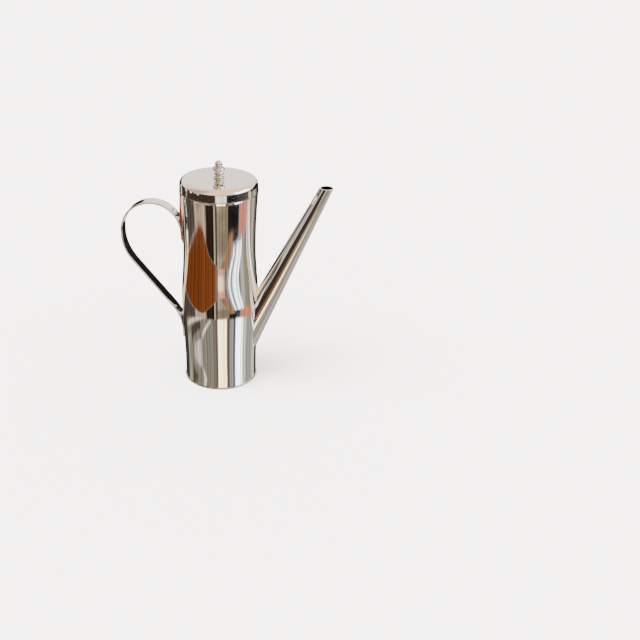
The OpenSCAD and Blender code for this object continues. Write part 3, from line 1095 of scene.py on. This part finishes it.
# %% Finial
FINIAL_FOOT_R, COLLAR_R, BEAD_R, BALL_R = 4.8, 4.4, 6.0, 3.75
DISC_T, COLLAR_Z, BEAD_HALF_H, STUD_DEPTH = 0.9, 5.6, 3.5, 6.0  # the foot and the collar are discs
BEAD_LIFT, NECK_OUT = 0.3, 0.6  # the bead stands off the collar, the neck's arc is centred out here
finial_h = high("finial") - lid_top_z
bead_z, ball_z = COLLAR_Z + BEAD_HALF_H + BEAD_LIFT, finial_h - BALL_R
neck_r = (COLLAR_Z - 2 * DISC_T) / 2


def rim(radius, bottom, top, rounding):
    """The rounded edge of a turned disc, from its lower face to its upper one."""
    corners = [(0, bottom, 0), (radius, bottom, rounding), (radius, top, rounding), (0, top, 0)]
    return softened(corners)[1:-1]


finial_outline = (
    [(0, STUD_DEPTH), (STUD_R, STUD_DEPTH), (STUD_R, 0), (FINIAL_FOOT_R - 0.2, 0)]
    + rim(FINIAL_FOOT_R, 0, DISC_T, 0.2)
    + arc(FINIAL_FOOT_R + NECK_OUT, DISC_T + neck_r, neck_r, -94, -266, 16)
    + rim(COLLAR_R, COLLAR_Z - DISC_T, COLLAR_Z, 0.15)
    + arc(0, bead_z, BEAD_R, -42, 52, 24, BEAD_HALF_H / BEAD_R)
    + arc(0, ball_z, BALL_R, -48, 90, 24)
)
finial = turned("finial_turned", [(r, lid_top_z + z) for r, z in finial_outline], steps=96)
place(finial, "lid", "finial")

# %% Stud
THREAD_PITCH, THREAD_DEPTH, END_CHAMFER = 0.5, 0.28, 0.3
THREAD_SIDES, LEVELS_PER_TURN = 32, 8
stud_low, stud_high = low("finial_stud"), high("finial_stud")


def thread_radius(z, angle):
    """Radius of the threaded stud: a sharp ridge that climbs one pitch for each turn."""
    share = ((z - stud_low) / THREAD_PITCH - angle / TURN) % 1
    ridge = 1 - abs(2 * share - 1)
    chamfer = STUD_R - END_CHAMFER + (z - stud_low)
    return min(STUD_R - THREAD_DEPTH * (1 - ridge), chamfer)


level_count = round((stud_high - stud_low) / THREAD_PITCH * LEVELS_PER_TURN)
around = [TURN * k / THREAD_SIDES for k in range(THREAD_SIDES)]
stud_rings = []
for level in range(level_count + 1):
    z = stud_low + (stud_high - stud_low) * level / level_count
    spokes = [(thread_radius(z, a), a) for a in around]
    stud_rings.append([(r * math.cos(a), r * math.sin(a), z) for r, a in spokes])
stud = lofted("finial_stud_threaded", stud_rings)
smooth(stud, 60)
place(stud, "lid", "finial_stud")

# %% Washer and nut
washer_low, washer_high = low("finial_washer"), high("finial_washer")
washer_r = high("finial_washer", "x")
washer_outline = softened(
    [
        (STUD_R, washer_low, 0.1),
        (washer_r, washer_low, 0.15),
        (washer_r, washer_high, 0.1),
        (STUD_R, washer_high, 0.1),
    ]
)
washer = turned("finial_washer_turned", washer_outline, steps=64, closed=True)
place(washer, "lid", "finial_washer")

nut_low, nut_high, nut_r = low("finial_nut"), high("finial_nut"), high("finial_nut", "x")
clear_selection()
bpy.ops.mesh.primitive_cylinder_add(
    vertices=6,
    radius=nut_r * MM,
    depth=(nut_high - nut_low) * MM,
    location=(0, 0, (nut_high + nut_low) / 2 * MM),
    rotation=(0, 0, math.radians(30)),
)
nut = bpy.context.object
nut.name = "finial_nut_hexagon"
bpy.ops.object.transform_apply(location=True, rotation=True, scale=True)
CORNER_CUT, CORNER_DROP, OVERSIZE = 0.45, 0.3, 0.01
past_corner = nut_r + OVERSIZE
chamfer_outline = [
    (0, nut_low),
    (nut_r - CORNER_CUT, nut_low),
    (past_corner, nut_low + CORNER_DROP),
    (past_corner, nut_high - CORNER_DROP),
    (nut_r - CORNER_CUT, nut_high),
    (0, nut_high),
]
cut(nut, turned("nut_chamfers", chamfer_outline, steps=64), "INTERSECT")
below, above = nut_low - 1, nut_high + 1
bore_outline = [(0, below), (STUD_R, below), (STUD_R, above), (0, above)]
cut(nut, turned("nut_bore", bore_outline, steps=32))
smooth(nut)
place(nut, "lid", "finial_nut")

# %% [markdown]
# ## Polished silver
# New silver is nearly a mirror, but silver that is used and polished by hand is not quite one.
# Three things tell the eye so. The metal isn't perfectly true: faint long waves bend the
# reflections a little. A fine grain runs the way the piece was spun or buffed, and softens them.
# And here and there the polish is duller, from fingers and from the cloth, with a warm grey
# tarnish left in the joints that the cloth doesn't reach. One recipe makes all of it from the
# place on the object, and takes the direction of the grain, the places of the joints and how
# strong each effect is.


# %% Helpers for finishes
def new_finish(name):
    """An empty material, and a wire that gives the place on the object in metres."""
    finish = bpy.data.materials.new(name)
    finish.use_nodes = True
    return finish, first_wire(finish.node_tree, "Object")


def from_axis(x, y):
    """Distance from the Z axis."""
    return (x * x + y * y) ** 0.5


def vector(x, y, z):
    """Three numbers, on wires or plain, as one place."""
    source = next(v for v in (x, y, z) if isinstance(v, Wire))
    return source.node("ShaderNodeCombineXYZ", None, {0: x, 1: y, 2: z})


def noise(spot, scale, detail, roughness):
    """Cloudy noise from 0 to 1, scale features to the metre."""
    settings = {"noise_dimensions": "3D"}
    sockets = {"Vector": spot, "Scale": scale, "Detail": detail, "Roughness": roughness}
    return spot.node("ShaderNodeTexNoise", settings, sockets)


print("finish helpers ready")

# %% Grain and metal
ROUND_STRETCH, ALONG_STRETCH = 0.02, 0.05  # scales along the grain, against 1 across it


def spun_grain(spot):
    """Coordinates drawn out along the turns of a lathe: fine across them, long round them."""
    x, y, z = split(spot)
    return vector(from_axis(x, y) + ROUND_STRETCH * x, ROUND_STRETCH * y, z)


def drawn_grain(spot):
    """Coordinates drawn out along a strip that runs up and down: fine across, long along."""
    x, y, z = split(spot)
    return vector(ALONG_STRETCH * x, y, ALONG_STRETCH * z)


def metal(finish, tone, roughness, relief):
    """Closes a metal finish with its tone, its roughness and its relief in millimetres."""
    sockets = {"Strength": 1.0, "Distance": MM, "Height": relief}
    bump = relief.node("ShaderNodeBump", None, sockets)
    sockets = {"Base Color": tone, "Metallic": 1.0, "Roughness": roughness, "Normal": bump}
    shader = bump.node("ShaderNodeBsdfPrincipled", None, sockets)
    shader.node("ShaderNodeOutputMaterial", None, {"Surface": shader})
    return finish


print("grain and metal ready")


# %% Silver recipe
def joint_mask(spot, heights, reach, ring):
    """1 on the levels where two pieces meet and on a ring joint, fading out within a reach."""
    x, y, z = split(spot)
    nearest = abs(z - heights[0] * MM)
    for height in heights[1:]:
        nearest = nearest.math("MINIMUM", nearest, abs(z - height * MM))
    mask = 1 - fade(nearest, 0.0, reach * MM)
    if ring:
        ring_r, ring_z = ring
        beside = fade(abs(from_axis(x, y) - ring_r * MM), 0.0, reach * MM)
        level = fade(z, ring_z * MM, (ring_z + 0.2) * MM)
        mask = mask.math("MAXIMUM", mask, (1 - beside) * level)
    return mask


# noises: the scale, the detail and the roughness of each
CLOTH, FINGERS, SPECKLE = (55.0, 4.0, 0.6), (22.0, 2.0, 0.5), (420.0, 3.0, 0.7)
LONG_WAVES, LINES = (26.0, 1.0, 0.4), (3.0, 0.6)  # the scale of the lines is that of the grain
CLEAN, WARM = (0.965, 0.95, 0.92), (0.93, 0.895, 0.84)
TARNISH, GREYED = (0.34, 0.29, 0.22), (0.50, 0.60, 0.60)
TARNISH_COVER, TARNISH_ROUGH = 0.85, 0.22
BRIGHT_ROUGH, SMUDGE_ROUGH, WORN_ROUGH, LINE_ROUGH = 0.028, 0.05, 0.03, 0.03
WAVE_DEPTH, GRAIN_DEPTH = 0.05, 0.00025  # in millimetres


def silver(
    name, grain, joints=(), dull=0.0, waves=1.0, grain_scale=1400.0, reach=1.1, ring=None, patina=0.0
):
    """Polished silver: the direction of its grain, where its joints are, and how dull it is.

    The joints are heights, and tarnish fades out within a reach of them, all in millimetres. A
    ring is a joint on a level face: a radius and the lowest height at which it is drawn. A patina
    greys the whole piece, a little less in its polished places.
    """
    finish, spot = new_finish(name)
    lines = noise(grain(spot), grain_scale, *LINES)
    cloth = noise(spot, *CLOTH)
    smudge = fade(noise(spot, *FINGERS), 0.52, 0.72)
    worn = fade(cloth, 0.35, 0.75)
    tone = blend(smudge * 0.5 + worn * 0.35, CLEAN, WARM)
    if patina:
        tone = blend(fade(cloth, 0.2, 0.5) * patina, tone, GREYED)
    roughness = BRIGHT_ROUGH + dull + SMUDGE_ROUGH * smudge + WORN_ROUGH * worn
    roughness = roughness + LINE_ROUGH * fade(lines, 0.5, 0.8)
    if joints:
        speckle = fade(noise(spot, *SPECKLE), 0.25, 0.55)
        shadow = joint_mask(spot, joints, reach, ring) * speckle
        tone = blend(shadow * TARNISH_COVER, tone, TARNISH)
        roughness = roughness + TARNISH_ROUGH * shadow
    relief = noise(spot, *LONG_WAVES) * (waves * WAVE_DEPTH) + lines * GRAIN_DEPTH
    return metal(finish, tone, roughness, relief)


print("silver recipe ready")


# %% Silver on the pieces
def dress(piece, finish):
    """Gives a piece one finish."""
    piece.data.materials.clear()
    piece.data.materials.append(finish)


# the finial's grooves are the places where its outline is narrower than before and after
neighbours = zip(finial_outline, finial_outline[1:], finial_outline[2:])
grooves = [z for (before, _), (r, z), (after, _) in neighbours if z > 0.1 and before > r <= after]
finial_joints = [lid_top_z + z for z in grooves]
lid_ring = (FINIAL_FOOT_R, lid_top_z - 0.3)

spun_silver = silver("spun_silver", spun_grain, (BASE_T, MOUTH_Z))
lid_silver = silver("lid_silver", spun_grain, (MOUTH_Z,), waves=0.5, ring=lid_ring)
finial_silver = silver(
    "finial_silver", spun_grain, finial_joints, waves=0.2, grain_scale=2500.0, reach=0.8, patina=0.6
)
strip_silver = silver("strip_silver", drawn_grain)
for piece in (body_shell, base_disc):
    dress(piece, spun_silver)
for piece in (spout, handle_ribbon, plate):
    dress(piece, strip_silver)
dress(lid_cap, lid_silver)
dress(finial, finial_silver)
print("grooves of the finial at", [round(z, 1) for z in finial_joints])

# %% [markdown]
# ## Satin silver and brass
# Two pieces hide inside the mouth: the ring and the bezel. They rub on each other each time the
# lid goes on, so they are satin rather than bright, with rings of wear round them. The fixings
# under the lid are turned brass, which browns in the steam. Both finishes come from the same
# helpers as the silver, with another grain and other tones.

# %% Satin silver
satin_silver = silver("satin_silver", spun_grain, dull=0.16, waves=0.2, grain_scale=900.0)
for piece in (mouth_ring, lid_bezel):
    dress(piece, satin_silver)
print("satin on", mouth_ring.name, "and", lid_bezel.name)

# %% Brass
# noises as for the silver, then the tones, and the roughness of the metal, its patches and lines
BRASS_LINES, PATCHES = (2200.0, 2.0, 0.6), (380.0, 4.0, 0.6)
BRASS, BROWNED, PATCH_DEPTH = (0.72, 0.50, 0.20), (0.34, 0.22, 0.10), 0.01
BRASS_ROUGH, PATCH_ROUGH, TOOL_ROUGH = 0.22, 0.2, 0.1


def aged_brass(name):
    """Turned brass with brown patches."""
    finish, spot = new_finish(name)
    lines = noise(spun_grain(spot), *BRASS_LINES)
    patches = fade(noise(spot, *PATCHES), 0.42, 0.66)
    tone = blend(patches, BRASS, BROWNED)
    roughness = BRASS_ROUGH + PATCH_ROUGH * patches + TOOL_ROUGH * lines
    return metal(finish, tone, roughness, lines * GRAIN_DEPTH + patches * PATCH_DEPTH)


brass = aged_brass("aged_brass")
for piece in (stud, washer, nut):
    dress(piece, brass)
print("brass on", stud.name, washer.name, nut.name)

# %% [markdown]
# ## Close the scene
# The new pieces must fill the same box as the frame, so both boxes are printed before the scene is
# closed.

# %% Sizes and finish
low_corner, high_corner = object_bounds()
sizes = {
    "cad": [list(cad_low), list(cad_high)],
    "visual": [list(low_corner), list(high_corner)],
}
for name, (lowest, highest) in sizes.items():
    print(name, [round(x / MM, 2) for x in lowest], [round(x / MM, 2) for x in highest])
